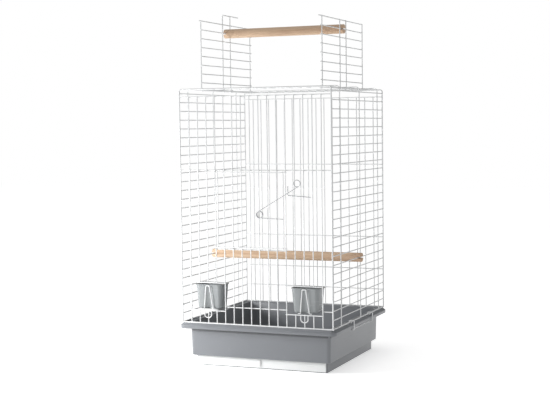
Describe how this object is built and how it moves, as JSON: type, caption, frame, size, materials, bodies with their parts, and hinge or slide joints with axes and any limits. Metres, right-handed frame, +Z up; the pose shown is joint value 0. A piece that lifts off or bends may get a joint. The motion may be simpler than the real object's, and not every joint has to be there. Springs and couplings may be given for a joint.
{
  "type": "bird cage",
  "caption": "Tall square wire bird cage with front door, outside feeders, roof flaps that carry a perch, and a plastic base with a drawer.",
  "frame": {"origin": "under the middle of the base, on the surface it stands on", "axes": "+Z up, -Y out of the front with the door, +X to the right seen from the front"},
  "size_m": [0.3632, 0.3571, 0.7631],
  "materials": {
    "coated_wire": "white powder coat, satin",
    "latch_wire": "pale grey coated spring wire, satin",
    "clip_wire": "white coated wire, satin",
    "base_plastic": "mid grey moulded, lightly grained",
    "drawer_plastic": "white moulded, smooth",
    "pull_plastic": "white moulded, smooth",
    "cup_plastic": "grey moulded, half gloss",
    "perch_wood": "plain turned dowel, unvarnished"
  },
  "bodies": {
    "cage": {"back_bars": "coated_wire", "back_cross_wires": "coated_wire", "back_hoop": "coated_wire", "base_tub": "base_plastic", "bottom_frame": "coated_wire", "door_keeper": "latch_wire", "drawer_housing": "base_plastic", "flap_rails": "coated_wire", "front_bars": "coated_wire", "front_cross_wires": "coated_wire", "front_hoop": "coated_wire", "inner_perch": "perch_wood", "left_feeder_opening": "coated_wire", "left_feeder_rest": "coated_wire", "left_side_rows": "coated_wire", "right_feeder_opening": "coated_wire", "right_feeder_rest": "coated_wire", "right_side_rows": "coated_wire", "roof_end_wires": "coated_wire", "roof_rows": "coated_wire", "side_and_roof_bands": "coated_wire"},
    "door": {"door_bars": "coated_wire", "door_cross_wires": "coated_wire", "latch_spring": "latch_wire"},
    "latch": {"latch_arm": "latch_wire"},
    "drawer": {"drawer_tray": "drawer_plastic", "drawer_front": "drawer_plastic", "drawer_pull": "pull_plastic"},
    "left_feeder": {"left_feeder_cup": "cup_plastic", "left_feeder_hanger": "coated_wire"},
    "right_feeder": {"right_feeder_cup": "cup_plastic", "right_feeder_hanger": "coated_wire"},
    "left_flap": {"left_flap_uprights": "coated_wire", "left_flap_rows": "coated_wire", "left_flap_tongue": "coated_wire"},
    "right_flap": {"right_flap_uprights": "coated_wire", "right_flap_rows": "coated_wire"},
    "top_perch": {"top_perch": "perch_wood"},
    "left_clip": {"left_rim_clip": "clip_wire"},
    "right_clip": {"right_rim_clip": "clip_wire"}
  },
  "joints": [
    {"name": "door_swing", "type": "hinge", "parent": "cage", "child": "door", "pos_m": [-0.09, -0.172, 0.339], "axis": [0, 0, -1], "range_deg": [0, 110]},
    {"name": "latch_lift", "type": "hinge", "parent": "door", "child": "latch", "pos_m": [0.0133, -0.1782, 0.3302], "axis": [0, -1, 0], "range_deg": [0, 20], "stiffness_Nm_per_rad": 0.02, "springref_deg": -22.92},
    {"name": "drawer_slide", "type": "slide", "parent": "cage", "child": "drawer", "axis": [0, -1, 0], "range_m": [0, 0.27]},
    {"name": "left_feeder_slide", "type": "slide", "parent": "cage", "child": "left_feeder", "axis": [0, -1, 0], "range_m": [0, 0.08]},
    {"name": "right_feeder_slide", "type": "slide", "parent": "cage", "child": "right_feeder", "axis": [0, -1, 0], "range_m": [0, 0.08]},
    {"name": "left_flap_fold", "type": "hinge", "parent": "cage", "child": "left_flap", "pos_m": [-0.136, 0, 0.594], "axis": [0, 1, 0], "range_deg": [-50, 50]},
    {"name": "right_flap_fold", "type": "hinge", "parent": "cage", "child": "right_flap", "pos_m": [0.136, 0, 0.594], "axis": [0, 1, 0], "range_deg": [-50, 50]},
    {"name": "top_perch_swing", "type": "hinge", "parent": "left_flap", "child": "top_perch", "pos_m": [-0.1363, 0, 0.72215], "axis": [0, 1, 0], "range_deg": [-50, 50]},
    {"name": "left_clip_swing", "type": "hinge", "parent": "cage", "child": "left_clip", "pos_m": [-0.172, 0, 0.0955], "axis": [0, 1, 0], "range_deg": [0, 100]},
    {"name": "right_clip_swing", "type": "hinge", "parent": "cage", "child": "right_clip", "pos_m": [0.172, 0, 0.0955], "axis": [0, -1, 0], "range_deg": [0, 100]}
  ],
  "couplings": [
    {"joint": "right_flap_fold", "follows": "left_flap_fold", "ratio": 1},
    {"joint": "top_perch_swing", "follows": "left_flap_fold", "ratio": -1}
  ]
}
